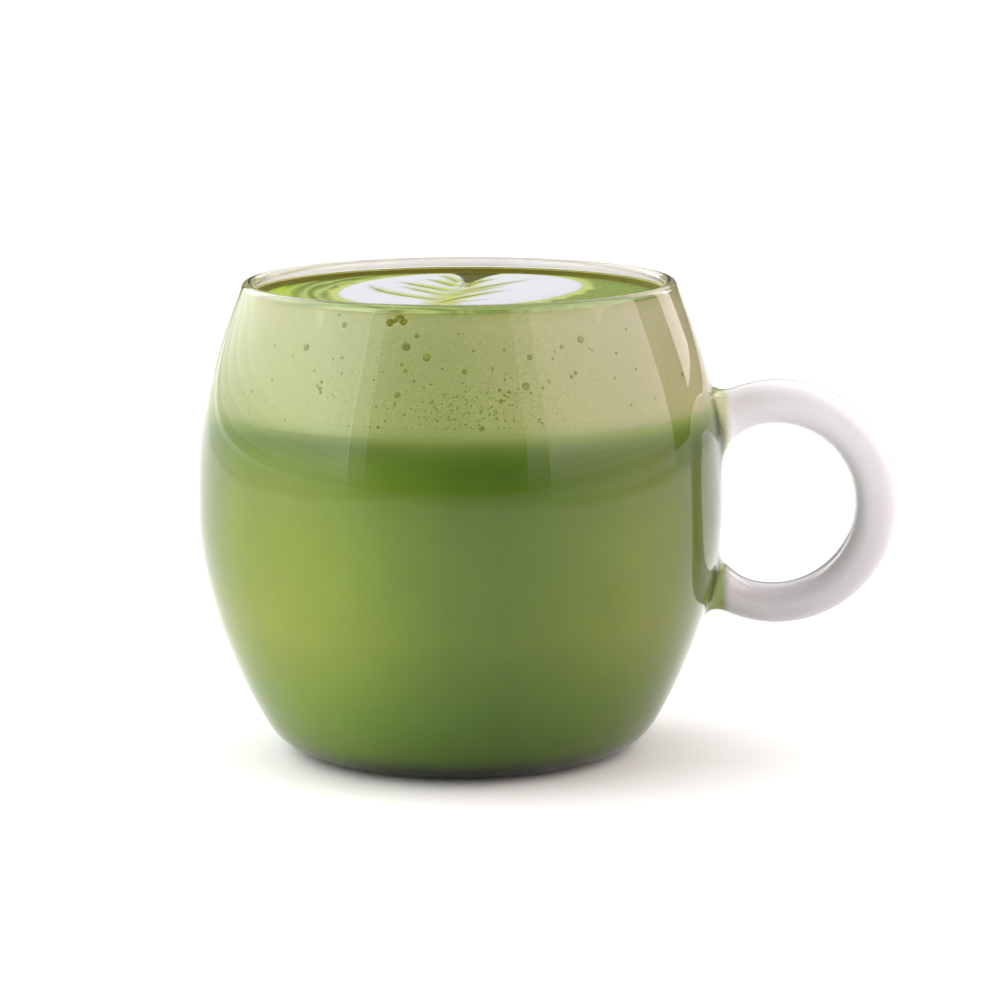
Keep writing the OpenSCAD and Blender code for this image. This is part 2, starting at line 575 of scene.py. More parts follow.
    def _loops(self) -> list[list[np.ndarray]]:
        """All loops of the handle, from the upper patch round the ring to the lower one.

        Returns:
            The loops, each as a list of corners.
        """
        upper, lower = self._neck(1), self._neck(-1)
        first = self._root_turn(1) - self.neck_turn
        last = self._root_turn(-1) + self.neck_turn
        corners = range(4 * self.patch)
        turns = np.linspace(first, last, self.stations)
        ring = [[self._rod(turn, corner) for corner in corners] for turn in turns]
        return upper + ring + lower[::-1]

    def _draw_handle(self, mug: bpy.types.Object) -> None:
        """Opens the two patches and draws the edge of the upper one, loop by loop, into the lower one.

        Args:
            mug: The body, in object mode.
        """
        half_turn = 180 * self.patch / self.columns

        def in_patch(centre: Vector) -> bool:
            """True if a face's centre is in one of the patches on the outer side."""
            turned = abs(math.degrees(math.atan2(centre.y, centre.x))) < half_turn
            outer = math.hypot(centre.x, centre.y) > self.outline.side(centre.z)[0] - self.outline.wall / 2
            tall = any(low < centre.z < high for low, high in (self.patch_low, self.patch_high))
            return turned and tall and outer

        bpy.ops.object.mode_set(mode="EDIT")
        opened = Bench.select_faces(mug, in_patch)
        assert opened == 2 * self.patch**2, f"{opened} faces in the handle's patches"
        bpy.ops.mesh.delete(type="FACE")
        loops = self._loops()
        bpy.ops.mesh.select_mode(type="EDGE")
        bpy.ops.mesh.select_all(action="DESELECT")
        mesh = bmesh.from_edit_mesh(mug.data)
        for edge in mesh.edges:
            if edge.is_boundary and edge.verts[0].co.z > self.ring_z:
                edge.select_set(True)
        bmesh.update_edit_mesh(mug.data)
        for before, after in zip(loops, loops[1:]):
            bpy.ops.mesh.extrude_edges_indiv()
            mesh = bmesh.from_edit_mesh(mug.data)
            held = np.array(before)
            for vertex in (v for v in mesh.verts if v.select):
                nearest = int(np.argmin(((held - np.array(vertex.co)) ** 2).sum(1)))
                vertex.co = after[nearest]
            bmesh.update_edit_mesh(mug.data)
        Bench.closed()
        bpy.ops.object.mode_set(mode="OBJECT")

    def build(self) -> bpy.types.Object:
        """Models the mug and dresses it in glass.

        Returns:
            The finished mug.
        """
        mug = self._body()
        self._draw_handle(mug)
        Bench.finish(mug, levels=1)
        glass = MugGlass(self.ring_x, self.ring_z, self.outline.belly_r, self.drink_top)
        mug.data.materials.append(glass.material())
        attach(mug, "root")
        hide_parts("glass_mug")
        return mug


# ---------------------------------------------------------------- the poured heart's drawing


@dataclass(frozen=True)
class Vein:
    """A green line in the white milk, as a bent stroke on the surface, in millimetres.

    Args:
        start: Where the stroke begins, at its strongest.
        bend: The point that it bends towards.
        end: Where it fades out.
        width: Width of the stroke.
        strength: How green and deep it is, from 0 to 1.
        cream: How much pale cream lies beside it, from 0 to 1.
    """

    start: Point
    bend: Point
    end: Point
    width: float = 0.9
    strength: float = 1.0
    cream: float = 1.0

    def line(self, steps: int = 16) -> np.ndarray:
        """Points along the stroke.

        Args:
            steps: Number of steps along it.

        Returns:
            Rows of x and y.
        """
        t = np.linspace(0, 1, steps + 1)[:, None]
        start, bend, end = (np.array(point) for point in (self.start, self.bend, self.end))
        return (1 - t) ** 2 * start + 2 * t * (1 - t) * bend + t * t * end

    def near(self, places: np.ndarray) -> tuple[np.ndarray, np.ndarray, np.ndarray]:
        """How places lie to the stroke.

        Args:
            places: Rows of x and y in millimetres.

        Returns:
            The distance to the stroke, the share of its length, and the signed side, above 0 to its right.
        """
        points = self.line()
        best = np.full(len(places), np.inf)
        share = np.zeros(len(places))
        hand = np.zeros(len(places))
        for i, (a, b) in enumerate(zip(points, points[1:])):
            along = b - a
            t = np.clip((places - a) @ along / (along @ along), 0, 1)
            gap = places - (a + t[:, None] * along)
            distance = np.hypot(gap[:, 0], gap[:, 1])
            nearer = distance < best
            best = np.where(nearer, distance, best)
            share = np.where(nearer, (i + t) / (len(points) - 1), share)
            hand = np.where(nearer, np.sign(gap[:, 0] * along[1] - gap[:, 1] * along[0]), hand)
        return best, share, hand


@dataclass(frozen=True)
class HeartDrawing:
    """The heart on the foam: its outline, the veins, and how they colour and shape the surface.

    Angles are in degrees and the other lengths in millimetres.

    Args:
        low: Lowest corner of the CAD heart's box, in metres.
        high: Highest corner of it.
        slant: Angle along which the oval is longest.
        slant_by: How much longer it is there, as a share.
        back_swell: How much it swells towards the notch, as a share.
        notch_at: Angle of the notch.
        notch_deep: Depth of the notch, as a share of the radius.
        notch_wide: Angle over which the notch opens.
        notch_tip: Place along Y where the dark wedge in the notch begins.
        notch_x: Place of that tip along X.
        notch_lean: How far the wedge leans towards +X at its open end.
        notch_line: Half the width of the wedge at its tip.
        notch_open: What is added to that at its open end.
        crowding: How much closer the corners lie at the notch, where 1 is even.
        cushion: Height of the milk above the foam.
        groove: Depth of the groove at a vein.
        veins: The green lines.
        stem: The broad faint line up the middle.
    """

    low: Vector
    high: Vector
    slant: float = 70
    slant_by: float = 0.125
    back_swell: float = 0.052
    notch_at: float = 82
    notch_deep: float = 0.6
    notch_wide: float = 5
    notch_tip: float = 18.6
    notch_x: float = 1.5
    notch_lean: float = 1.9
    notch_line: float = 0.2
    notch_open: float = 3.9
    crowding: float = 1.5
    cushion: float = 0.42
    groove: float = 0.2
    veins: tuple[Vein, ...] = (
        Vein((-4.2, -9.6), (-16.0, 1.8), (-16.6, 15.0), 1.0, 1.0, 0.8),
        Vein((-3.3, -2.4), (-7.6, 4.6), (-11.5, 13.0), 0.8, 0.7, 0.9),
        Vein((-2.4, 4.4), (-7.4, 12.4), (-12.2, 20.0), 1.0, 1.0, 1.0),
        Vein((-1.2, 11.4), (-2.9, 17.9), (-7.2, 24.2), 0.9, 1.0, 1.0),
        Vein((-0.4, 17.6), (-1.5, 25.0), (-4.6, 30.8), 0.8, 0.7, 0.8),
        Vein((-3.2, -13.4), (0.6, -4.5), (10.4, 6.4), 1.1, 1.0, 1.0),
        Vein((-1.2, -3.4), (2.6, 3.4), (9.6, 12.0), 0.8, 0.6, 0.9),
        Vein((0.4, 2.4), (4.8, 10.5), (15.2, 23.8), 0.9, 0.8, 1.0),
        Vein((1.4, 10.0), (2.4, 18.4), (8.2, 24.0), 0.9, 1.0, 1.0),
        Vein((1.9, 15.0), (3.1, 23.5), (6.6, 30.4), 0.8, 0.8, 0.8),
        Vein((-2.6, -15.6), (1.4, -12.4), (8.4, -7.0), 0.7, 0.35, 0.5),
    )
    stem: Vein = Vein((-3.7, -17.8), (-2.0, -2.0), (1.5, 19.4), 1.8, 0.12, 1.0)

    def _unit(self, degrees: np.ndarray) -> np.ndarray:
        """Radius of the outline at an angle, as a share of its middle radius.

        Args:
            degrees: Angles from +X towards +Y.

        Returns:
            The share at each angle.
        """
        off = np.abs((degrees - self.notch_at + 180) % 360 - 180)
        oval = 1 + self.slant_by * np.cos(np.radians(2 * (degrees - self.slant)))
        oval = oval + self.back_swell * np.cos(np.radians(degrees - self.notch_at))
        return oval * (1 - self.notch_deep * np.exp(-off / self.notch_wide))

    def _fitted(self) -> tuple[np.ndarray, float]:
        """Centre and middle radius that fit the outline to the CAD heart's box, in millimetres.

        Returns:
            The centre and the radius.
        """
        turns = np.linspace(0, 360, 721)
        reach = self._unit(turns)
        x, y = reach * np.cos(np.radians(turns)), reach * np.sin(np.radians(turns))
        radius = (self.high.y - self.low.y) / MM / (y.max() - y.min())
        centre = np.array([self.low.x / MM - radius * x.min(), self.low.y / MM - radius * y.min()])
        return centre, radius

    def spread(self, share: np.ndarray) -> np.ndarray:
        """Angles round the outline, closer together at the notch, for shares from -1 to 1."""
        return self.notch_at + 90 * np.sign(share) * (np.abs(share) ** self.crowding + np.abs(share))

    def at(self, degrees: np.ndarray, share: np.ndarray) -> np.ndarray:
        """Places in the heart, in millimetres.

        Args:
            degrees: Angles from the heart's centre.
            share: Shares of the way from the centre to the outline.

        Returns:
            Rows of x and y.
        """
        centre, radius = self._fitted()
        reach = share * radius * self._unit(degrees)
        turn = np.radians(degrees)
        return centre + np.stack([reach * np.cos(turn), reach * np.sin(turn)], -1)

    def edge(self, places: np.ndarray) -> np.ndarray:
        """Distance of places inside the outline, in millimetres, below 0 outside it.

        Args:
            places: Rows of x and y in millimetres.

        Returns:
            The distance of each place.
        """
        centre, radius = self._fitted()
        off = places - centre
        degrees = np.degrees(np.arctan2(off[:, 1], off[:, 0]))
        step = 1.0
        here = radius * self._unit(degrees)
        slope = radius * (self._unit(degrees + step) - self._unit(degrees - step)) / np.radians(2 * step)
        return (here - np.hypot(off[:, 0], off[:, 1])) * here / np.hypot(here, slope)

    def marks(self, places: np.ndarray) -> tuple[np.ndarray, ...]:
        """Shares of the milk and its marks at places on the surface.

        Args:
            places: Rows of x and y in millimetres.

        Returns:
            Four rows of shares from 0 to 1: white milk, pale cream, veins and the dark notch.
        """
        edge = self.edge(places)
        x, y = places[:, 0], places[:, 1]
        wobble = 0.35 * np.sin(x * 0.9 + y * 0.5) + 0.25 * np.sin(y * 1.7)
        deep = np.clip((y - self.notch_tip) / (self.high.y / MM - self.notch_tip), 0, 1)
        off = np.abs(x - self.notch_x - self.notch_lean * deep) + 0.4 * wobble
        notch = smooth(off - self.notch_line - self.notch_open * deep, 0.6, -0.3) * smooth(deep, 0.0, 0.06)
        white = smooth(edge + 0.5 * wobble, 0.0, 1.1)
        cream = smooth(edge + wobble, -1.7, -0.3) * smooth(edge, 1.6, 0.4) * 0.85 * (1 - notch)
        dark = np.zeros(len(places))
        for vein in (*self.veins, self.stem):
            gap, share, hand = vein.near(places)
            fade = smooth(share, 1.02, 0.45) * vein.strength
            line = smooth(gap, vein.width * 0.75, vein.width * 0.25) * fade
            below = np.where(hand > 0, 1.0, 0.6)
            beside = smooth(gap, vein.width * 2.6, vein.width * 0.5) * smooth(share, 1.0, 0.2)
            dark = np.maximum(dark, 0.9 * line)
            cream = np.maximum(cream, beside * vein.cream * below)
        white = white * (1 - 0.85 * cream) * (1 - dark)
        return white, cream, dark, notch

    def relief(self, places: np.ndarray) -> np.ndarray:
        """Height of the milk above the foam: a low cushion with a groove at each vein.

        Args:
            places: Rows of x and y in millimetres.

        Returns:
            The height at each place, from 0 up.
        """
        rise = self.cushion * smooth(self.edge(places), 0.0, 4.5)
        for vein in (*self.veins, self.stem):
            gap, share, _ = vein.near(places)
            cut = self.groove * smooth(gap, vein.width * 1.1, 0.0)
            rise = rise - cut * smooth(share, 1.05, 0.4) * vein.strength
        return np.maximum(rise, 0.0)


# ---------------------------------------------------------------- colours of the drink


@dataclass(frozen=True)
class DrinkColours:
    """Linear colours of the drink's top and of the foam's side, and where each one lies, with painted shade
    along the climbing edge and painted light and shade across the foam's side.

    Args:
        white: The poured milk.
        cream: The pale green round the veins and the heart's edge.
        crema: The darker foam of the top.
        crema_light: The lighter foam in its swirls.
        tip: The greener foam at the far left.
        vein: The veins.
        notch: The dark wedge in the notch.
        edge_painted_shade: Painted shade: the dark line along the climbing edge, where the foam curves up
            the glass.
        edge_light: The pale line on the glass above it.
        foam_stops: The foam's side, by height in millimetres.
        side_painted_light: Painted light and shade on the foam's side: factors that it is multiplied by, by
            the place along X in millimetres.
    """

    white: Colour = (0.42, 0.435, 0.465)
    cream: Colour = (0.33, 0.37, 0.11)
    crema: Colour = (0.095, 0.145, 0.018)
    crema_light: Colour = (0.25, 0.31, 0.085)
    tip: Colour = (0.26, 0.38, 0.03)
    vein: Colour = (0.17, 0.175, 0.02)
    notch: Colour = (0.058, 0.058, 0.006)
    edge_painted_shade: Colour = (0.11, 0.105, 0.015)
    edge_light: Colour = (0.5, 0.52, 0.14)
    foam_stops: Stops = (
        (63.4, (0.37, 0.48, 0.14)),
        (64.4, (0.46, 0.56, 0.18)),
        (65.8, (0.51, 0.59, 0.21)),
        (69.0, (0.52, 0.59, 0.225)),
        (76.0, (0.51, 0.575, 0.235)),
        (82.0, (0.49, 0.54, 0.23)),
        (83.6, (0.46, 0.51, 0.2)),
        (84.1, (0.4, 0.42, 0.12)),
        (84.6, (0.6, 0.6, 0.3)),
    )
    side_painted_light: Stops = (
        (-46, (0.75, 0.72, 0.82)),
        (-40, (0.81, 0.78, 0.85)),
        (-34, (0.95, 0.91, 1.0)),
        (-29, (1.04, 1.0, 1.14)),
        (-23, (1.07, 1.05, 1.26)),
        (-16, (0.96, 0.95, 1.06)),
        (-10, (0.87, 0.89, 0.9)),
        (-2, (0.83, 0.85, 0.82)),
        (5, (0.9, 0.9, 0.93)),
        (12, (0.93, 0.9, 0.98)),
        (22, (0.98, 0.9, 1.15)),
        (30, (0.93, 0.84, 1.16)),
        (37, (0.93, 0.8, 1.13)),
        (42, (1.04, 0.86, 1.3)),
        (45, (1.0, 0.85, 1.1)),
    )

    @staticmethod
    def _between(values: np.ndarray, stops: Stops) -> np.ndarray:
        """Colours at values between stops."""
        at = [stop for stop, _ in stops]
        return np.stack([np.interp(values, at, [colour[i] for _, colour in stops]) for i in range(3)], 1)

    @staticmethod
    def _over(colours: np.ndarray, share: np.ndarray, colour: Colour) -> np.ndarray:
        """Colours with a share of one other colour laid over each."""
        return colours * (1 - share[:, None]) + share[:, None] * np.array(colour)

    def side(self, heights: np.ndarray, across: np.ndarray) -> np.ndarray:
        """Colours of the foam's side at heights and places along X, in millimetres, with painted light and
        shade across X.
        """
        return self._between(heights, self.foam_stops) * self._between(across, self.side_painted_light)

    def top(self, places: np.ndarray, to_edge: np.ndarray, drawing: HeartDrawing) -> np.ndarray:
        """Colours of the drink's top.

        Args:
            places: Rows of x and y in millimetres.
            to_edge: Distance of each place inside the climbing edge, in millimetres, below 0 on it.
            drawing: The poured heart.

        Returns:
            Rows of linear red, green and blue.
        """
        x, y = places[:, 0], places[:, 1]
        lie = x * 0.94 + y * 0.34
        around = drawing.edge(places)
        swirl = np.sin(around * 2.1 + 1.1 * np.sin(lie * 0.23) + 0.7 * np.sin(lie * 0.61 + around))
        lines = np.sin((y * 0.9 - x * 0.42) * 4.3 + 1.3 * np.sin(lie * 0.9))
        grain = lines * np.sin(lie * 1.9 + 1.6 * np.sin(y * 1.1))
        left = smooth(x, 8, -8)
        streak = left * swirl + (1 - left) * (0.9 * grain - 0.25) + 0.25 * np.sin(lie * 3.3 + y * 2.1)
        colours = self._over(np.array(self.crema), smooth(streak, -0.8, 1.2), self.crema_light)
        colours = self._over(colours, smooth(x, -28.5, -33.5) * smooth(y, -9, 0), self.tip)
        for share, colour in zip(drawing.marks(places), (self.white, self.cream, self.vein, self.notch)):
            colours = self._over(colours, share, colour)
        mottle = np.sin(x * 5.3 + 2.1 * np.sin(y * 3.7)) * np.sin(y * 4.1 + 1.7 * np.sin(x * 2.9))
        # Painted shade: a dark line along the climbing edge, where the foam curves up the glass.
        line = smooth(to_edge + 0.3 * streak + 0.3 * mottle, 0.6, -0.2)
        colours = self._over(colours, line, self.edge_painted_shade)
        return self._over(colours, smooth(to_edge, -1.3, -1.5), self.edge_light)


# ---------------------------------------------------------------- the drink


@dataclass
class Fill:
    """What fills the glass between two heights, just into the wall, so that no gap of air shows.

    Args:
        outline: Outline of the glass.
        low: Height of its underside.
        high: Height of its top at the glass.
        into_wall: How far it reaches into the wall.
        segments: Faces round it.
    """

    outline: GlassOutline
    low: float
    high: float
    into_wall: float = 0.15 * MM
    segments: int = 400

    @property
    def inset(self) -> float:
        """Distance from the outer side of the glass to the side of the fill."""
        return self.outline.wall - self.into_wall

    def side_points(self, start: float, end: float, rows: int) -> list[Point]:
        """Points up the side of the fill, from one height to another.

        Args:
            start: Height of the first point.
            end: Height of the last one.
            rows: Number of rows of faces.

        Returns:
            Radius and height of each point.
        """
        heights = np.linspace(start, end, rows + 1)
        return [(self.outline.radius_inside(z, self.inset), float(z)) for z in heights]


@dataclass
class MatchaMilk(Fill):
    """The green milk under the foam.

    Args:
        rows: Rows of faces up its side.
        foot_rows: Rows up its round foot.
        top_rings: Radii of the rings of corners on its top, as shares.
        crease: Edges over this angle stay sharp, in degrees.
    """

    rows: int = 44
    foot_rows: int = 8
    top_rings: tuple[float, ...] = (0.9, 0.5, 0.0)
    crease: float = 50

    def build(self) -> bpy.types.Object:
        """Models the milk and dresses it.

        Returns:
            The finished milk.
        """
        floor = self.outline.base - self.into_wall
        foot = [tuple(map(float, p)) for p in self.outline.foot_edge(self.inset, floor, self.foot_rows)]
        start = float(self.outline.side(self.outline.foot_end[1], self.inset)[1])
        side = self.side_points(start, self.high, self.rows)
        top = [(side[-1][0] * share, self.high) for share in self.top_rings]
        under = [(0.0, floor), (foot[0][0] / 2, floor)]
        milk = Bench.turned("green_milk", [*under, *foot, *side, *top], self.segments)
        Bench.finish(milk, crease=math.radians(self.crease))
        milk.data.materials.append(MilkFinish().material())
        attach(milk, "root")
        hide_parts("matcha_milk")
        return milk


@dataclass
class Foam(Fill):
    """The pale foam, with an edge that climbs the glass and a shallow bed for the poured heart.

    Args:
        drawing: The poured heart's drawing.
        colours: Colours of the drink.
        climb: Height of the climbing edge.
        climb_width: Width of it.
        climb_bend: Power of its curve, where 1 is straight.
        side_rows: Rows of faces up the side.
        climb_rows: Rows down the climbing edge.
        top_rows: Rows from there to the middle.
        bed: Depth of the heart's bed, in millimetres.
        ripple: Height of the surface's ripples, in millimetres.
        fleck: How much the flecks lighten and darken the colour.
        fleck_size: Size of the flecks.
        crease: Edges over this angle stay sharp, in degrees.
    """

    drawing: HeartDrawing | None = None
    colours: DrinkColours = field(default_factory=DrinkColours)
    climb: float = 1.0 * MM
    climb_width: float = 1.6 * MM
    climb_bend: float = 2.2
    side_rows: int = 46
    climb_rows: int = 10
    top_rows: int = 96
    bed: float = 1.1
    ripple: float = 0.05
    fleck: float = 0.16
    fleck_size: float = 0.55 * MM
    crease: float = 60

    @property
    def level(self) -> float:
        """Height of the flat part of the surface."""
        return self.high - self.climb

    @property
    def glass_r(self) -> float:
        """Radius at which the climbing edge ends on the glass."""
        return self.outline.radius_inside(self.high, self.inset)

    @property
    def flat_r(self) -> float:
        """Radius of the flat part of the surface."""
        return self.glass_r - self.climb_width

    def _points(self) -> list[Point]:
        """Outline of the foam.

        Returns:
            Radius and height of each point: under the foam, up its side, down the climbing edge and in.
        """
        glass_r, flat_r = self.glass_r, self.flat_r
        side = self.side_points(self.low, self.high, self.side_rows)
        climb = []
        for share in map(float, np.linspace(0, 1, self.climb_rows + 1)[1:]):
            height = self.level + self.climb * (1 - share) ** self.climb_bend
            climb.append((glass_r - self.climb_width * share, height))
        across = [(flat_r * (1 - i / self.top_rows), self.level) for i in range(1, self.top_rows + 1)]
        return [(0.0, self.low), (side[0][0] / 2, self.low), *side, *climb, *across]

    def build(self) -> bpy.types.Object:
        """Models the foam, beds the heart in it and paints it.

        Returns:
            The finished foam.
        """
        foam = Bench.turned("foam_layer", self._points(), self.segments)
        places = Bench.places(foam)
        flat = places[:, :2] / MM
        reach = np.hypot(flat[:, 0], flat[:, 1])
        to_edge = self.flat_r / MM - reach
        on_heart = self.drawing.edge(flat)
        top = (places[:, 2] > self.level - NEARLY * MM) & (reach < self.glass_r / MM - NEARLY)
        places[:, 2] -= np.where(top, self.bed * MM * smooth(on_heart, 0.7, 3.2), 0)
        bent = np.sin(flat[:, 0] * 0.8 + 1.3 * np.sin(flat[:, 1] * 0.5))
        ripple = self.ripple * bent * np.sin(flat[:, 1] * 1.3)
        free = smooth(to_edge, 0.0, 2.0) * smooth(on_heart, -0.4, -1.6)
        places[:, 2] += np.where(top, ripple * free * MM, 0)
        Bench.move_to(foam, places)
        # The side's colours carry painted light and shade across X.
        side_colour = self.colours.side(places[:, 2] / MM, flat[:, 0])
        top_colour = self.colours.top(flat, to_edge, self.drawing)
        Bench.paint(foam, "look", np.where(top[:, None], top_colour, side_colour))
        Bench.finish(foam, crease=math.radians(self.crease))
        foam.data.materials.append(FoamFinish("foam_green", self.fleck, self.fleck_size).material())
        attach(foam, "root")
        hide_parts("foam")
        return foam


@dataclass
class MilkHeart:
    """The white heart poured on the foam, a lens with soft veins.

    Args:
        drawing: Its drawing.
        level: Height of the foam's flat surface.
        thickness: Thickness of the CAD heart, in millimetres.
        colours: Colours of the drink.
        around: Corners round the outline.
        rows_under: Rows of faces on its underside.
        rows_top: Rows of faces on its top.
        edge_drop: How far its edge lies below the surface, in millimetres.
        edge_width: Width over which its top rises from there, in millimetres.
        lens: Places from the outline between which the underside deepens, in millimetres.
        off_edge: A distance well clear of the climbing edge, in millimetres.
        fleck: How much the flecks lighten and darken the colour.
        fleck_size: Size of the flecks.
    """

    drawing: HeartDrawing
    level: float
    thickness: float
    colours: DrinkColours = field(default_factory=DrinkColours)
    around: int = 600
    rows_under: int = 10
    rows_top: int = 100
    edge_drop: float = 0.14
    edge_width: float = 0.9
    lens: tuple[float, float] = (-1.5, 7.0)
    off_edge: float = 9.0
    fleck: float = 0.03
    fleck_size: float = 0.5 * MM

    def build(self) -> bpy.types.Object:
        """Wraps a grid to the heart's outline, raises it to a lens and paints it.

        Returns:
            The finished heart.
        """
        rows = self.rows_under + self.rows_top
        heart = Bench.add(bpy.ops.mesh.primitive_grid_add, "heart", x_subdivisions=self.around,
                          y_subdivisions=rows, size=2)
        grid = Bench.places(heart)
        degrees = self.drawing.spread(grid[:, 0])
        row = np.rint((grid[:, 1] + 1) / 2 * rows)
        under = row < self.rows_under
        share = np.where(under, row / self.rows_under, (rows - row) / self.rows_top)
        flat = self.drawing.at(degrees, share)
        edge = np.maximum(self.drawing.edge(flat), 0.0)
        tuck = self.edge_drop * (1 - smooth(edge, 0.0, self.edge_width))
        depth = self.thickness * smooth(edge, *self.lens) - self.thickness * smooth(0.0, *self.lens)
        height = np.where(under, -self.edge_drop - depth, self.drawing.relief(flat) - tuck)
        places = np.column_stack([flat * MM, self.level + height * MM])
        Bench.move_to(heart, places)
        bpy.ops.object.mode_set(mode="EDIT")
        Bench.closed()
        bpy.ops.object.mode_set(mode="OBJECT")
        merged = Bench.places(heart)[:, :2] / MM
        to_edge = np.full(len(merged), self.off_edge)
        Bench.paint(heart, "look", self.colours.top(merged, to_edge, self.drawing))
        Bench.finish(heart)
        heart.data.materials.append(FoamFinish("white_milk", self.fleck, self.fleck_size).material())
        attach(heart, "root")
        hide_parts("milk_heart")
        return heart


@dataclass(frozen=True)
class Scatter:
    """How one kind of bubble lies against the glass.

    Args:
        count: Number of bubbles.
        small: Smallest radius in millimetres.
        large: Largest radius in millimetres.
        spread: Angle to either side of the front that most of them keep to, in degrees.
        height: Middle height above the milk, as a share of the foam's height.
        height_spread: How far most of them are from that height, as a share.
        colour: Linear colour.
    """

    count: int
    small: float
    large: float
    spread: float
    height: float
    height_spread: float
    colour: Colour


class BubbleKind(Enum):
    """Kinds of bubble and fleck that show against the glass."""

    LARGE = Scatter(16, 0.35, 0.75, 26, 0.5, 0.24, (0.27, 0.33, 0.07))
    MEDIUM = Scatter(34, 0.2, 0.34, 30, 0.45, 0.26, (0.26, 0.32, 0.06))
    DENSE = Scatter(230, 0.09, 0.2, 11, 0.24, 0.09, (0.28, 0.34, 0.07))
    FINE = Scatter(170, 0.07, 0.15, 22, 0.42, 0.24, (0.3, 0.36, 0.09))
    AROUND = Scatter(90, 0.12, 0.45, 400, 0.4, 0.25, (0.29, 0.35, 0.08))
    FLECK = Scatter(7, 0.3, 0.85, 1.3, 0.94, 0.014, (0.21, 0.21, 0.03))


@dataclass
class FoamBubbles:
    """Bubbles of the foam pressed against the glass, as one piece of low domes.

    Args:
        fill: The foam that they belong to.
        front: Angle round the axis that most of them lie near, in degrees.
        fleck_at: The same for the fleck.
        seed: Start of the random draws.
        lowest: Lowest place, as a share of the foam's height.
        highest: Highest place, likewise.
        small_bias: Power that makes small bubbles the more common ones.
        tones: Darkest and lightest shade, as shares of the kind's colour.
        proud: Half the thickness of a dome.
        segments: Faces round a dome.
        rings: Rows of faces over a dome.
        roughness: Roughness of their finish.
    """

    fill: Fill
    front: float = 271
    fleck_at: float = 255
    seed: int = 12
    lowest: float = 0.09
    highest: float = 0.965
    small_bias: float = 1.6
    tones: tuple[float, float] = (0.85, 1.2)
    proud: float = 0.05 * MM
    segments: int = 8
    rings: int = 4
    roughness: float = 0.5

    def build(self) -> bpy.types.Object:
        """Scatters the domes over the foam's side and colours them.

        Returns:
            The finished bubbles.
        """
        rng = np.random.default_rng(self.seed)
        piece = Bench.add(bpy.ops.mesh.primitive_plane_add, "foam_bubbles", size=MM)
        bpy.ops.object.mode_set(mode="EDIT")
        bpy.ops.mesh.select_all(action="SELECT")
        bpy.ops.mesh.delete(type="VERT")
        colours = []
        tall = self.fill.high - self.fill.low
        for kind in BubbleKind:
            scatter = kind.value
            middle = self.fleck_at if kind is BubbleKind.FLECK else self.front
            for _ in range(scatter.count):
                share = rng.normal(scatter.height, scatter.height_spread)
                share = float(np.clip(share, self.lowest, self.highest))
                turn = middle + float(rng.normal(0, scatter.spread))
                size = float(rng.uniform(0, 1) ** self.small_bias)
                radius = MM * (scatter.small + (scatter.large - scatter.small) * size)
                self._dome(radius, self.fill.low + tall * share, turn)
                colours.append(np.array(scatter.colour) * float(rng.uniform(*self.tones)))
        bpy.ops.mesh.select_all(action="SELECT")
        bpy.ops.mesh.normals_make_consistent(inside=False)
        bpy.ops.object.mode_set(mode="OBJECT")
        each = len(piece.data.vertices) // len(colours)
        Bench.paint(piece, "look", np.repeat(np.array(colours), each, axis=0))
        Bench.finish(piece)
        plain = FoamFinish("bubbles", fleck=0.0, fleck_size=1 * MM, roughness=self.roughness)
        piece.data.materials.append(plain.material())
        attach(piece, "root")
        return piece

    def _dome(self, radius: float, z: float, turn: float) -> None:
        """Adds one low dome to the piece in edit mode.

        Args:
            radius: Radius of the dome.
            z: Height of its middle.
            turn: Angle of it round the axis, in degrees.
        """
        r = self.fill.outline.radius_inside(z, self.fill.inset)
        lower = self.fill.outline.radius_inside(z - SLOPE_STEP, self.fill.inset)
        lean = math.atan2(lower - r, SLOPE_STEP)
        x, y = r * direction(turn)
        bpy.ops.mesh.primitive_uv_sphere_add(
            segments=self.segments, ring_count=self.rings, radius=1, location=(x, y, z),
            rotation=(0, math.radians(90) - lean, math.radians(turn)), scale=(radius, radius, self.proud))


# ---------------------------------------------------------------- shader sums


class Value:
    """A shader socket that takes part in Python sums. Each sum adds a Math node."""

    def __init__(self, finish: "Finish", socket: bpy.types.NodeSocket) -> None:
        """Wraps an output socket of one of a finish's nodes."""
        self.finish = finish
        self.socket = socket

    def _sum(self, operation: str, *terms: "Value | float") -> "Value":
        """Result of a new Math node with the given terms."""
        return self.finish.node("ShaderNodeMath", {"operation": operation}, dict(enumerate(terms))).value()

    def __add__(self, other: "Value | float") -> "Value":
        """This value and another added."""
        return self._sum("ADD", self, other)

    def __sub__(self, other: "Value | float") -> "Value":
        """This value less another."""
        return self._sum("SUBTRACT", self, other)

    def __rsub__(self, other: float) -> "Value":
        """A number less this value."""
        return self._sum("SUBTRACT", other, self)

    def __mul__(self, other: "Value | float") -> "Value":
        """This value times another."""
        return self._sum("MULTIPLY", self, other)

    def __truediv__(self, other: "Value | float") -> "Value":
        """This value divided by another."""
        return self._sum("DIVIDE", self, other)

    __radd__ = __add__
    __rmul__ = __mul__

    def smoothed(self, low: float, high: float) -> "Value":
        """Rises smoothly from 0 at low to 1 at high."""
        share = self._sum("MAXIMUM", self._sum("MINIMUM", (self - low) / (high - low), 1.0), 0.0)
        return share * share * (3 - 2 * share)


class Added:
    """A node just added to a finish."""

    def __init__(self, finish: "Finish", node: bpy.types.Node) -> None:
        """Keeps a node with its finish."""
        self.finish = finish
        self.node = node

    def value(self, output: int | str = 0) -> Value:
        """One of the node's outputs."""
        return Value(self.finish, self.node.outputs[output])


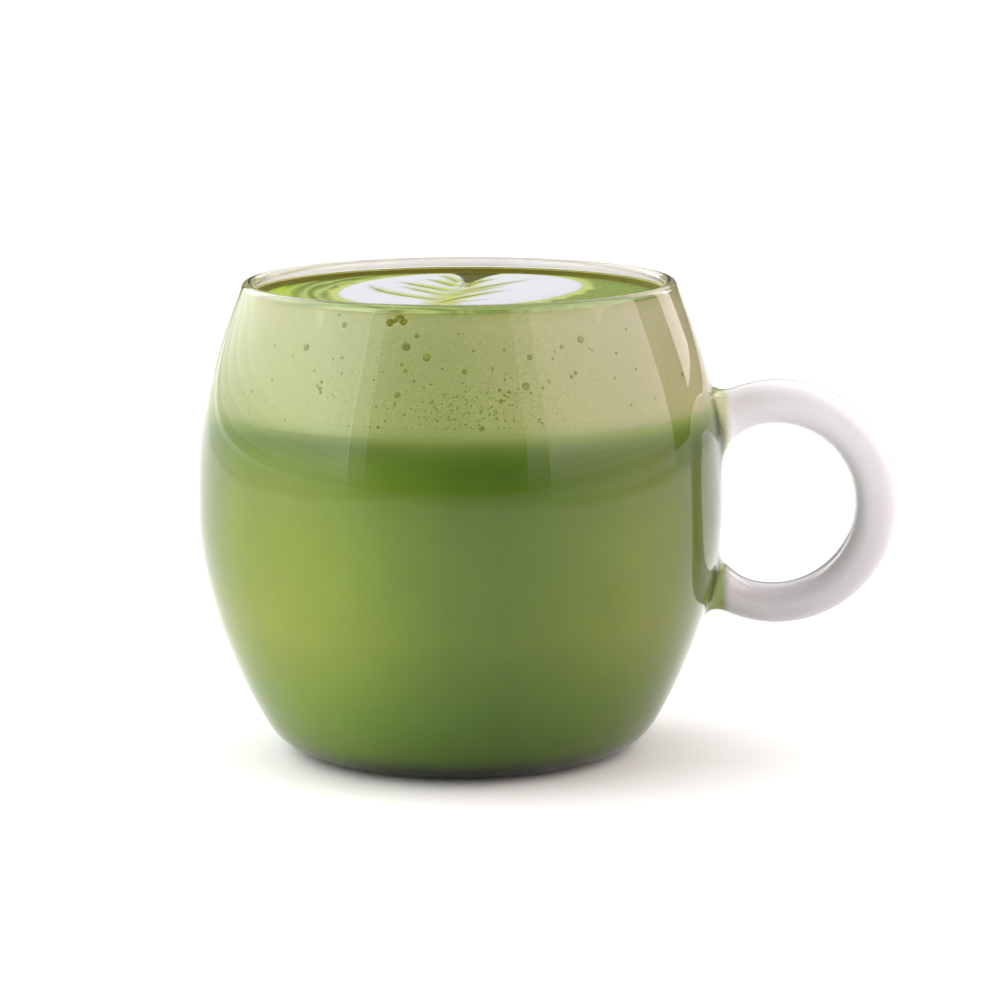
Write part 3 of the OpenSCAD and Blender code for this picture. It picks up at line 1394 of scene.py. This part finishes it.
class Finish:
    """A material whose nodes are added from Python."""

    WET = {"IOR": 1.35, "Specular IOR Level": 0.05}

    def __init__(self, name: str) -> None:
        """Starts an empty material of a name."""
        self.made = bpy.data.materials.new(name)
        self.made.use_nodes = True
        self.made.node_tree.nodes.clear()

    def node(self, kind: str, settings: dict | None = None, inputs: dict | None = None) -> Added:
        """Adds a node.

        Args:
            kind: Type of the node.
            settings: What is set before its sockets. A ramp's stops are places with linear colours.
            inputs: Numbers, colours or values for its sockets, by name or by number.

        Returns:
            The node.
        """
        node = self.made.node_tree.nodes.new(kind)
        for name, setting in (settings or {}).items():
            if name == "stops":
                self._set_stops(node.color_ramp, setting)
            else:
                setattr(node, name, setting)
        for key, given in (inputs or {}).items():
            if isinstance(given, Value):
                self.made.node_tree.links.new(given.socket, node.inputs[key])
            else:
                node.inputs[key].default_value = given
        return Added(self, node)

    @staticmethod
    def _set_stops(ramp: bpy.types.ColorRamp, stops: Stops) -> None:
        """Gives a ramp its stops, in order.

        Args:
            ramp: The ramp of a new node.
            stops: Places from 0 to 1 with linear colours.
        """
        while len(ramp.elements) < len(stops):
            ramp.elements.new(1.0)
        for element, (place, colour) in zip(ramp.elements, stops):
            element.position = place
            element.color = (*colour, 1)

    def place(self) -> Added:
        """The place of a point in the row frame, in metres, as separate x, y and z."""
        coordinates = self.node("ShaderNodeTexCoord")
        return self.node("ShaderNodeSeparateXYZ", inputs={0: coordinates.value("Object")})

    def product(self, first: Value, second: Value | Sequence[float]) -> Value:
        """Two colours or vectors multiplied part by part."""
        return self.node("ShaderNodeVectorMath", {"operation": "MULTIPLY"}, {0: first, 1: second}).value()

    def noise(self, size: float, detail: float) -> Value:
        """Noise from 0 to 1.

        Args:
            size: Size of its features, in metres.
            detail: Number of finer layers.

        Returns:
            The noise.
        """
        place = self.product(self.node("ShaderNodeTexCoord").value("Object"), [1 / size] * 3)
        inputs = {"Vector": place, "Scale": 1.0, "Detail": detail}
        return self.node("ShaderNodeTexNoise", inputs=inputs).value()

    def scaled(self, colour: Value, by: Value) -> Value:
        """A colour made darker or lighter by a value."""
        return self.product(colour, self.node("ShaderNodeCombineXYZ", inputs={0: by, 1: by, 2: by}).value())

    def mixed(self, share: Value, first: Colour | Value, second: Colour | Value) -> Value:
        """A colour between two others.

        Args:
            share: Share of the second colour.
            first: The colour where the share is 0.
            second: The colour where it is 1.

        Returns:
            The mixed colour.
        """
        ends = [end if isinstance(end, Value) else (*end, 1) for end in (first, second)]
        return self.node("ShaderNodeMix", {"data_type": "RGBA"}, {0: share, 6: ends[0], 7: ends[1]}).value(2)

    def surface(self, colour: Colour | Value, roughness: float, more: dict[str, float]) -> Added:
        """A Principled surface.

        Args:
            colour: Its base colour.
            roughness: Its roughness.
            more: Its other settings, by name.

        Returns:
            The surface.
        """
        base = colour if isinstance(colour, Value) else (*colour, 1)
        inputs = {"Base Color": base, "Roughness": roughness, **more}
        return self.node("ShaderNodeBsdfPrincipled", inputs=inputs)

    def done(self, shader: Added) -> bpy.types.Material:
        """Ends the material with a shader."""
        self.node("ShaderNodeOutputMaterial", inputs={"Surface": shader.value()})
        return self.made


@dataclass(frozen=True)
class MugGlass:
    """Clear glass of the mug, with a milky handle with painted light at its top and painted shade at its
    bottom, roots in the drink's colours as a painted refraction of the drink, and a rim pale behind.

    Pairs of places are where a change begins and ends.

    Args:
        ring_x: Place of the handle ring's middle along X.
        ring_z: Height of the ring's middle.
        root_x: Place along X where the handle leaves the glass.
        drink_top: Height of the drink's climbing edge.
        tint: Colour of the clear glass.
        ior: Refractive index of the glass.
        milky_painted_shade: Colour of the handle at its lower end, darker as painted shade.
        milky_painted_light: Colour of it at its upper end, lighter as painted light.
        milky_shade_to_light: Heights between those, from the ring's middle, over which painted shade turns
            to painted light.
        root_refracted_low: Colour of the lower root: painted refraction of the darker milk seen through the
            glass.
        root_refracted_high: Colour of the upper root: painted refraction of the paler drink near the foam
            seen through the glass.
        root_refracted_rise: Heights between those, from the ring's middle.
        root_refracted_out: Places along X, from root_x, where the painted refraction at the root turns
            milky.
        handle_out: Places along X, from root_x, where clear glass turns milky.
        hole: Radius round the ring's middle that stays clear.
        hole_fade: Distance over which that turns milky.
        root_half: Distance from the handle's middle plane that the milkiness reaches.
        ring_end: Radius round the ring's middle that it reaches.
        end_fade: Distance over which it ends at both.
        rim_colour: Colour of the rim behind.
        rim_fade: Half the height over which the rim turns pale above the drink.
        rim_back: Places along Y where it turns pale.
        share: How milky the handle is, from 0 to 1.
        rim_share: How pale the rim is, from 0 to 1.
        roughness: Roughness of the milky glass.
    """

    ring_x: float
    ring_z: float
    root_x: float
    drink_top: float
    tint: Colour = (0.985, 0.99, 0.985)
    ior: float = 1.43
    milky_painted_shade: Colour = (0.56, 0.545, 0.565)
    milky_painted_light: Colour = (0.75, 0.74, 0.77)
    milky_shade_to_light: Point = (-20 * MM, 18 * MM)
    root_refracted_low: Colour = (0.2, 0.25, 0.07)
    root_refracted_high: Colour = (0.37, 0.4, 0.2)
    root_refracted_rise: Point = (12 * MM, 18 * MM)
    root_refracted_out: Point = (-0.6 * MM, 1.6 * MM)
    handle_out: Point = (-6 * MM, -1.5 * MM)
    hole: float = 12.0 * MM
    hole_fade: float = 2 * MM
    root_half: float = 7.5 * MM
    ring_end: float = 24.5 * MM
    end_fade: float = 2.5 * MM
    rim_colour: Colour = (0.6, 0.57, 0.585)
    rim_fade: float = 0.4 * MM
    rim_back: Point = (-6 * MM, 14 * MM)
    share: float = 0.94
    rim_share: float = 0.45
    roughness: float = 0.08

    def _milky(self, x: Value, y: Value, reach: Value) -> Value:
        """Where the glass is milky.

        Args:
            x: Place along X.
            y: Place along Y.
            reach: Distance from the middle of the handle's ring.

        Returns:
            A value from 0 to 1.
        """
        beside = (y * y).smoothed(self.root_half**2, (self.root_half - self.end_fade) ** 2)
        inside = reach.smoothed(self.ring_end + self.end_fade, self.ring_end)
        on_ring = reach.smoothed(self.hole, self.hole + self.hole_fade) * inside * beside
        return x.smoothed(*(self.root_x + step for step in self.handle_out)) * on_ring

    def material(self) -> bpy.types.Material:
        """Builds the glass.

        Returns:
            The finished material.
        """
        finish = Finish("clear_glass")
        place = finish.place()
        x, y, z = (place.value(axis) for axis in "XYZ")
        across, up = x - self.ring_x, z - self.ring_z
        reach = finish.node("ShaderNodeMath", {"operation": "SQRT"}, {0: across * across + up * up}).value()
        above = z.smoothed(self.drink_top - self.rim_fade, self.drink_top + self.rim_fade)
        rim = above * y.smoothed(*self.rim_back)
        # Painted light and shade on the handle: lighter at its top, darker at its bottom.
        milky = finish.mixed(up.smoothed(*self.milky_shade_to_light), self.milky_painted_shade, self.milky_painted_light)
        # Painted refraction at the handle's roots: the drink's colours by height, standing in for the drink
        # seen through the glass.
        root = finish.mixed(up.smoothed(*self.root_refracted_rise), self.root_refracted_low, self.root_refracted_high)
        colour = finish.mixed(x.smoothed(*(self.root_x + step for step in self.root_refracted_out)), root, milky)
        clear = finish.surface(self.tint, 0.0, {"IOR": self.ior, "Transmission Weight": 1.0})
        pale = finish.surface(finish.mixed(rim, colour, self.rim_colour), self.roughness, {"IOR": self.ior})
        factor = self._milky(x, y, reach) * self.share + rim * self.rim_share
        both = finish.node("ShaderNodeMixShader", inputs={0: factor, 1: clear.value(), 2: pale.value()})
        return finish.done(both)


@dataclass(frozen=True)
class MilkFinish:
    """Green milk with painted light and shade across it: lighter where light enters at the sides and darker
    between, with faint clouds.

    Args:
        stops: Colours by height, in millimetres.
        painted_light: Painted light and shade that they are multiplied by, by the place along X in
            millimetres: lighter where light enters at the sides.
        painted_light_scale: Largest factor that the painted light can hold.
        painted_light_span: Width that the painted light's ramp covers, in millimetres.
        painted_light_end: Heights over which the painted light ends, below the foam.
        clouds: How much the clouds lighten and darken the colour.
        cloud_size: Size of the clouds.
        roughness: Roughness of the milk.
    """

    stops: Stops = (
        (2.8, (0.035, 0.06, 0.005)),
        (4.2, (0.09, 0.17, 0.008)),
        (5.4, (0.112, 0.225, 0.009)),
        (9.0, (0.124, 0.254, 0.01)),
        (14.0, (0.137, 0.278, 0.0115)),
        (20.0, (0.164, 0.299, 0.0155)),
        (28.0, (0.207, 0.335, 0.0225)),
        (38.0, (0.189, 0.325, 0.019)),
        (46.0, (0.178, 0.315, 0.018)),
        (53.0, (0.16, 0.286, 0.0225)),
        (57.5, (0.1325, 0.25, 0.026)),
        (60.0, (0.133, 0.242, 0.027)),
        (61.6, (0.17, 0.265, 0.05)),
        (62.6, (0.25, 0.34, 0.072)),
        (63.4, (0.315, 0.4, 0.12)),
    )
    painted_light: Stops = (
        (-46, (0.64, 0.58, 0.42)),
        (-43, (1.04, 0.87, 0.65)),
        (-39, (1.58, 1.21, 1.34)),
        (-30, (1.92, 1.42, 2.3)),
        (-20, (1.67, 1.37, 2.1)),
        (-12, (1.2, 1.09, 1.14)),
        (-2, (0.84, 0.83, 0.72)),
        (7, (0.7, 0.71, 0.64)),
        (16, (0.83, 0.77, 0.86)),
        (24, (1.01, 0.85, 1.08)),
        (30, (1.18, 0.89, 1.39)),
        (36, (1.06, 0.8, 1.08)),
        (41, (0.75, 0.6, 0.5)),
        (45, (0.45, 0.4, 0.2)),
    )
    painted_light_scale: float = 2.4
    painted_light_span: float = 100
    painted_light_end: Point = (58 * MM, 62.6 * MM)
    clouds: float = 0.05
    cloud_size: float = 9 * MM
    roughness: float = 0.35

    def material(self) -> bpy.types.Material:
        """Builds the milk.

        Returns:
            The finished material.
        """
        finish = Finish("milk_green")
        place = finish.place()
        top = self.stops[-1][0]
        levels = [(stop / top, colour) for stop, colour in self.stops]
        ramp = finish.node("ShaderNodeValToRGB", {"stops": levels}, {0: place.value("Z") / (top * MM)})
        # Painted light and shade across X: lighter where light enters at the sides, darker between, fading
        # out below the foam.
        across = place.value("X") / (self.painted_light_span * MM) + 0.5
        painted_light_stops = []
        for x, colour in self.painted_light:
            painted_light_stops.append((0.5 + x / self.painted_light_span, tuple(part / self.painted_light_scale for part in colour)))
        painted_light = finish.node("ShaderNodeValToRGB", {"stops": painted_light_stops}, {0: across})
        plain = (1 / self.painted_light_scale,) * 3
        painted_light_faded = finish.mixed(place.value("Z").smoothed(*self.painted_light_end), painted_light.value(), plain)
        clouds = finish.noise(self.cloud_size, 1.0) * (2 * self.clouds) + (1 - self.clouds)
        lit = finish.scaled(ramp.value(), clouds * self.painted_light_scale)
        return finish.done(finish.surface(finish.product(lit, painted_light_faded), self.roughness, Finish.WET))


@dataclass(frozen=True)
class FoamFinish:
    """Foam or poured milk painted by its look attribute, with fine flecks of lighter and darker bubbles.

    Args:
        name: Name of the material.
        fleck: How much the flecks lighten and darken the colour.
        fleck_size: Size of the flecks.
        roughness: Roughness of the surface.
    """

    name: str
    fleck: float
    fleck_size: float
    roughness: float = 0.55

    def material(self) -> bpy.types.Material:
        """Builds the foam.

        Returns:
            The finished material.
        """
        finish = Finish(self.name)
        painted = finish.node("ShaderNodeAttribute", {"attribute_name": "look"}).value("Color")
        shade = finish.noise(self.fleck_size, 2.0) * (2 * self.fleck) + (1 - self.fleck)
        return finish.done(finish.surface(finish.scaled(painted, shade), self.roughness, Finish.WET))


# ---------------------------------------------------------------- the studio


@dataclass(frozen=True)
class Card:
    """A soft light on a flat card that faces the mug.

    Args:
        name: Name of the light.
        turn: Direction of the card from the mug, in degrees from +X towards +Y.
        away: Distance of the card from the mug's axis.
        width: Width of the card.
        low: Height of its lower edge.
        high: Height of its upper edge.
        colour: Linear colour of the light.
        shine: Radiance of the card, where 1 shows as white.
        fade: Height over which the card fades out below its lower edge.
        steps: Number of weaker strips in the fade.
    """

    name: str
    turn: float
    away: float
    width: float
    low: float
    high: float
    colour: Colour
    shine: float
    fade: float = 0.0
    steps: int = 5

    def build(self) -> None:
        """Adds the card's light, and weaker strips below it where it fades out."""
        self._strip(self.name, self.low, self.high, self.shine)
        tall = self.fade / self.steps
        for i in range(self.steps if self.fade else 0):
            top = self.low - i * tall
            self._strip(f"{self.name}_{i}", top - tall, top, self.shine * (1 - (i + 1) / (self.steps + 1)))

    def _strip(self, name: str, low: float, high: float, shine: float) -> None:
        """Adds one flat light between two heights.

        Args:
            name: Name of the light.
            low: Height of its lower edge.
            high: Height of its upper edge.
            shine: Radiance of the light.
        """
        light = bpy.data.lights.new(name, "AREA")
        light.shape = "RECTANGLE"
        light.size = self.width
        light.size_y = high - low
        light.color = self.colour
        light.energy = shine * math.pi * light.size * light.size_y
        card = bpy.data.objects.new(name, light)
        x, y = self.away * direction(self.turn)
        card.location = (x, y, (low + high) / 2)
        card.rotation_euler = (math.radians(90), 0, math.radians(self.turn + 90))
        card.visible_camera = False
        bpy.context.scene.collection.objects.link(card)


@dataclass(frozen=True)
class Studio:
    """Pale floor, soft lights and the camera.

    Args:
        eye: Place of the camera.
        aim: Place that it looks at.
        lens: Focal length, in millimetres.
        sensor: Width of the sensor, in millimetres.
        nearest: Distance at which the camera begins to see.
        roll: Turn of the camera about its view, in degrees.
        floor_below: How far the floor lies below the foot.
        floor_size: Width of the floor.
        floor_white: Linear colour of the floor.
        floor_rough: Roughness of the floor.
        floor_sheen: Strength of its reflections.
        ambient: Light from all round.
        overhead_size: Width of the light above.
        overhead_at: Place of it.
        overhead_shine: Radiance of it.
        cards: The soft lights round the mug.
    """

    eye: tuple[float, float, float] = (0.0, -0.6894, 0.1646)
    aim: tuple[float, float, float] = (0.0072, 0.0, 0.0454)
    lens: float = 137.7
    sensor: float = 36
    nearest: float = 0.01
    roll: float = -0.25
    floor_below: float = 0.1 * MM
    floor_size: float = 10
    floor_white: Colour = (0.86, 0.86, 0.86)
    floor_rough: float = 0.9
    floor_sheen: float = 0.1
    ambient: float = 0.12
    overhead_size: float = 14.0
    overhead_at: tuple[float, float, float] = (0.0, 5.6, 3.4)
    overhead_shine: float = 1.45
    cards: tuple[Card, ...] = (
        Card("left_card", 167, 0.7, 1.95, 0.2, 1.1, (1.0, 1.0, 1.0), 2.8, fade=0.2),
        Card("left_edge_card", 225.6, 0.7, 0.105, 0.16, 1.0, (1.0, 1.0, 1.0), 1.4, fade=0.12),
        Card("right_card", 341.8, 0.7, 0.935, 0.16, 1.0, (1.0, 0.86, 0.84), 2.7, fade=0.14),
        Card("right_edge_card", 303, 0.7, 0.12, 0.16, 1.0, (1.0, 0.88, 0.84), 1.3, fade=0.12),
        Card("right_rear_card", 43, 0.7, 0.18, 0.12, 1.0, (1.0, 0.85, 0.86), 2.4),
    )

    def build(self) -> None:
        """Sets the floor, the lights, the world and the camera."""
        floor = Bench.add(bpy.ops.mesh.primitive_plane_add, "floor", size=self.floor_size,
                          location=(0, 0, -self.floor_below))
        finish = Finish("floor_white")
        sheen = {"Specular IOR Level": self.floor_sheen}
        floor.data.materials.append(finish.done(finish.surface(self.floor_white, self.floor_rough, sheen)))
        for card in self.cards:
            card.build()
        self._overhead()
        world = bpy.data.worlds.new("studio")
        world.use_nodes = True
        background = world.node_tree.nodes["Background"].inputs
        background["Color"].default_value = (1, 1, 1, 1)
        background["Strength"].default_value = self.ambient
        bpy.context.scene.world = world
        bpy.context.scene.view_settings.view_transform = "Standard"
        self._camera()

    def _overhead(self) -> None:
        """Adds the wide soft light above."""
        light = bpy.data.lights.new("overhead", "AREA")
        light.shape = "SQUARE"
        light.size = self.overhead_size
        light.energy = self.overhead_shine * math.pi * light.size**2
        lamp = bpy.data.objects.new("overhead", light)
        lamp.location = self.overhead_at
        lamp.visible_camera = False
        bpy.context.scene.collection.objects.link(lamp)

    def _camera(self) -> None:
        """Places the camera and makes it the scene's."""
        data = bpy.data.cameras.new("camera")
        data.lens = self.lens
        data.sensor_width = self.sensor
        data.clip_start = self.nearest
        camera = bpy.data.objects.new("camera", data)
        camera.location = self.eye
        towards = (Vector(self.aim) - Vector(self.eye)).to_track_quat("-Z", "Y")
        camera.rotation_euler = towards.to_euler()
        camera.rotation_euler.rotate_axis("Z", math.radians(self.roll))
        bpy.context.scene.collection.objects.link(camera)
        bpy.context.scene.camera = camera


# ---------------------------------------------------------------- the whole


def main() -> None:
    """Builds the mug, the drink and the studio."""
    logging.basicConfig(level=logging.INFO, format="%(name)s: %(message)s")
    glass_low, glass_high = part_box("glass_mug")
    foam_low, foam_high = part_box("foam")
    heart_low, heart_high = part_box("milk_heart")
    outline = GlassOutline(height=glass_high.z, belly_r=-glass_low.x)
    drawing = HeartDrawing(heart_low, heart_high)
    foam = Foam(outline, foam_low.z, foam_high.z, drawing=drawing)
    builders = (
        GlassMug(outline, glass_high.x, foam_high.z),
        MatchaMilk(outline, 0.0, foam_low.z),
        foam,
        MilkHeart(drawing, foam.level, (heart_high.z - heart_low.z) / MM),
        FoamBubbles(foam),
    )
    for builder in builders:
        piece = builder.build()
        LOG.info("%s: %d faces", piece.name, len(piece.data.polygons))
    Studio().build()


if __name__ == "__main__":
    main()
